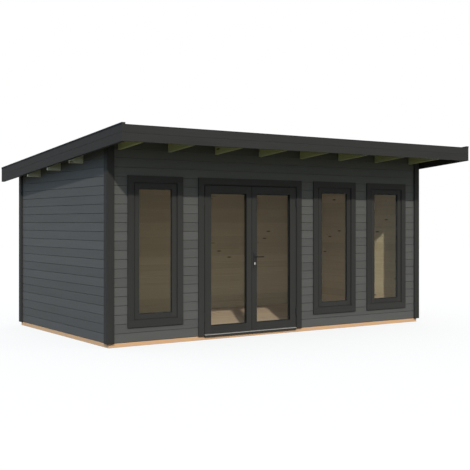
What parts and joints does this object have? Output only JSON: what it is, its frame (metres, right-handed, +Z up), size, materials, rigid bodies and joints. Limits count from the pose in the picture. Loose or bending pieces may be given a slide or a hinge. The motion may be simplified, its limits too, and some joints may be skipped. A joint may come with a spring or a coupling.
{
  "type": "garden shed",
  "caption": "Glazed garden shed of stacked grey boards with a single-slope roof, a deep front canopy, tall fixed windows and a pair of glazed doors that open outwards.",
  "frame": {"origin": "on the ground, under the middle of the roof's outline", "axes": "+Z up, +X along the front from left to right, the front with its door faces -Y"},
  "size_m": [5.73, 4, 2.6669],
  "materials": {
    "wall_boards": "grey paint outside, bare pine inside",
    "trim_wood": "dark grey paint",
    "bare_wood": "planed, unpainted",
    "treated_wood": "planed, greenish preservative",
    "glass": "clear",
    "dark_metal": "satin black",
    "lock_metal": "satin nickel",
    "threshold_metal": "mill finish",
    "roof_felt": "matt roofing sheet"
  },
  "bodies": {
    "shed": {"front_bearer": "bare_wood", "back_bearer": "bare_wood", "left_bearer": "bare_wood", "right_bearer": "bare_wood", "floor_joists": "bare_wood", "floor_boards": "bare_wood", "front_wall_left": "wall_boards", "front_wall_right": "wall_boards", "front_wall_header": "wall_boards", "back_wall": "wall_boards", "left_wall": "wall_boards", "right_wall": "wall_boards", "front_left_corner_trim": "trim_wood", "front_right_corner_trim": "trim_wood", "back_left_corner_trim": "trim_wood", "back_right_corner_trim": "trim_wood", "left_window_frame": "trim_wood", "left_window_sash": "trim_wood", "left_window_glass": "glass", "middle_window_frame": "trim_wood", "middle_window_sash": "trim_wood", "middle_window_glass": "glass", "right_window_frame": "trim_wood", "right_window_sash": "trim_wood", "right_window_glass": "glass", "door_frame": "trim_wood", "door_threshold": "threshold_metal", "door_hinge_pins": "dark_metal", "canopy_rafters": "treated_wood", "purlins": "treated_wood", "roof_boards": "treated_wood", "roof_covering": "roof_felt", "front_fascia": "trim_wood", "back_fascia": "trim_wood", "left_fascia": "trim_wood", "right_fascia": "trim_wood"},
    "left_door": {"left_door_leaf": "trim_wood", "left_door_glass": "glass", "left_door_knuckles": "dark_metal"},
    "right_door": {"right_door_leaf": "trim_wood", "right_door_glass": "glass", "right_door_knuckles": "dark_metal", "handle_plates": "dark_metal", "door_lock": "lock_metal"},
    "lever": {"door_lever": "dark_metal"}
  },
  "joints": [
    {"name": "left_door_hinge", "type": "hinge", "parent": "shed", "child": "left_door", "pos_m": [-1.257, -1.184, 1], "axis": [0, 0, -1], "range_deg": [0, 110]},
    {"name": "right_door_hinge", "type": "hinge", "parent": "shed", "child": "right_door", "pos_m": [0.257, -1.184, 1], "axis": [0, 0, 1], "range_deg": [0, 110]},
    {"name": "lever_turn", "type": "hinge", "parent": "right_door", "child": "lever", "pos_m": [-0.456, -1.17, 1.07], "axis": [0, 1, 0], "range_deg": [0, 40], "stiffness_Nm_per_rad": 1.5, "springref_deg": -22.92}
  ]
}
